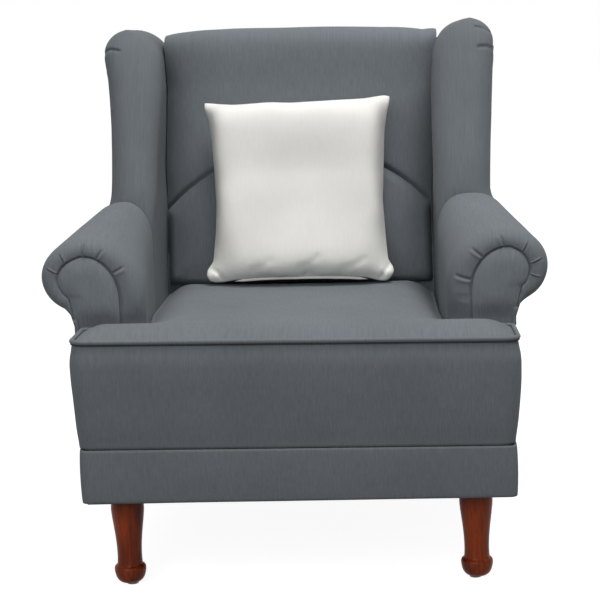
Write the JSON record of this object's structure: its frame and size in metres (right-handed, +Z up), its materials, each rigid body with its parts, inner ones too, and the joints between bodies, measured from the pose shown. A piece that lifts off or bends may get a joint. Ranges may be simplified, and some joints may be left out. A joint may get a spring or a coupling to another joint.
{
  "type": "fireside chair",
  "caption": "Upholstered wing back fireside chair with rolled arms, a tight T seat, turned wooden legs and a loose scatter cushion.",
  "frame": {"origin": "on the floor under the middle of the chair's box", "axes": "+Z up, -Y the way the sitter faces, +X to the right as seen from the front"},
  "size_m": [0.8832, 0.8402, 0.967],
  "materials": {
    "woven_cloth": "matte",
    "cushion_cloth": "matte",
    "turned_wood": "gloss",
    "frame_wood": "matte",
    "padding": "matte",
    "webbing": "matte",
    "black_lining": "matte",
    "glide_plastic": "satin",
    "plated_steel": "satin"
  },
  "bodies": {
    "chair": {"front_left_leg": "turned_wood", "front_right_leg": "turned_wood", "rear_left_leg": "turned_wood", "rear_right_leg": "turned_wood", "foot_glides": "glide_plastic", "hanger_bolts": "plated_steel", "leg_t_nuts": "plated_steel", "leg_blocks": "frame_wood", "base_front_rail": "frame_wood", "base_rear_rail": "frame_wood", "base_left_rail": "frame_wood", "base_right_rail": "frame_wood", "base_band_cover": "woven_cloth", "dust_cover": "black_lining", "seat_front_rail": "frame_wood", "seat_rear_rail": "frame_wood", "seat_left_rail": "frame_wood", "seat_right_rail": "frame_wood", "seat_webbing": "webbing", "seat_foam": "padding", "seat_cover": "woven_cloth", "seat_piping": "woven_cloth", "left_arm_front_board": "frame_wood", "right_arm_front_board": "frame_wood", "left_arm_rear_board": "frame_wood", "right_arm_rear_board": "frame_wood", "left_arm_rail": "frame_wood", "right_arm_rail": "frame_wood", "left_arm_padding": "padding", "right_arm_padding": "padding", "left_arm_cover": "woven_cloth", "right_arm_cover": "woven_cloth", "left_arm_facing": "woven_cloth", "right_arm_facing": "woven_cloth", "left_outside_arm": "woven_cloth", "right_outside_arm": "woven_cloth", "left_back_post": "frame_wood", "right_back_post": "frame_wood", "back_top_rail": "frame_wood", "back_lower_rail": "frame_wood", "rear_top_rail": "frame_wood", "left_wing_frame": "frame_wood", "right_wing_frame": "frame_wood", "left_wing_padding": "padding", "right_wing_padding": "padding", "left_wing_cover": "woven_cloth", "right_wing_cover": "woven_cloth", "left_outside_wing": "woven_cloth", "right_outside_wing": "woven_cloth", "back_webbing": "webbing", "back_foam": "padding", "inside_back_cover": "woven_cloth", "lumbar_foam": "padding", "lumbar_cover": "woven_cloth", "outside_back_panel": "woven_cloth", "frame_dowels": "frame_wood"},
    "scatter_cushion": {"scatter_cushion_cover": "cushion_cloth", "scatter_cushion_filling": "padding"}
  },
  "joints": [
    {"name": "cushion_lift", "type": "slide", "parent": "chair", "child": "scatter_cushion", "axis": [0, -0.6, 0.8], "range_m": [0, 0.6]}
  ]
}
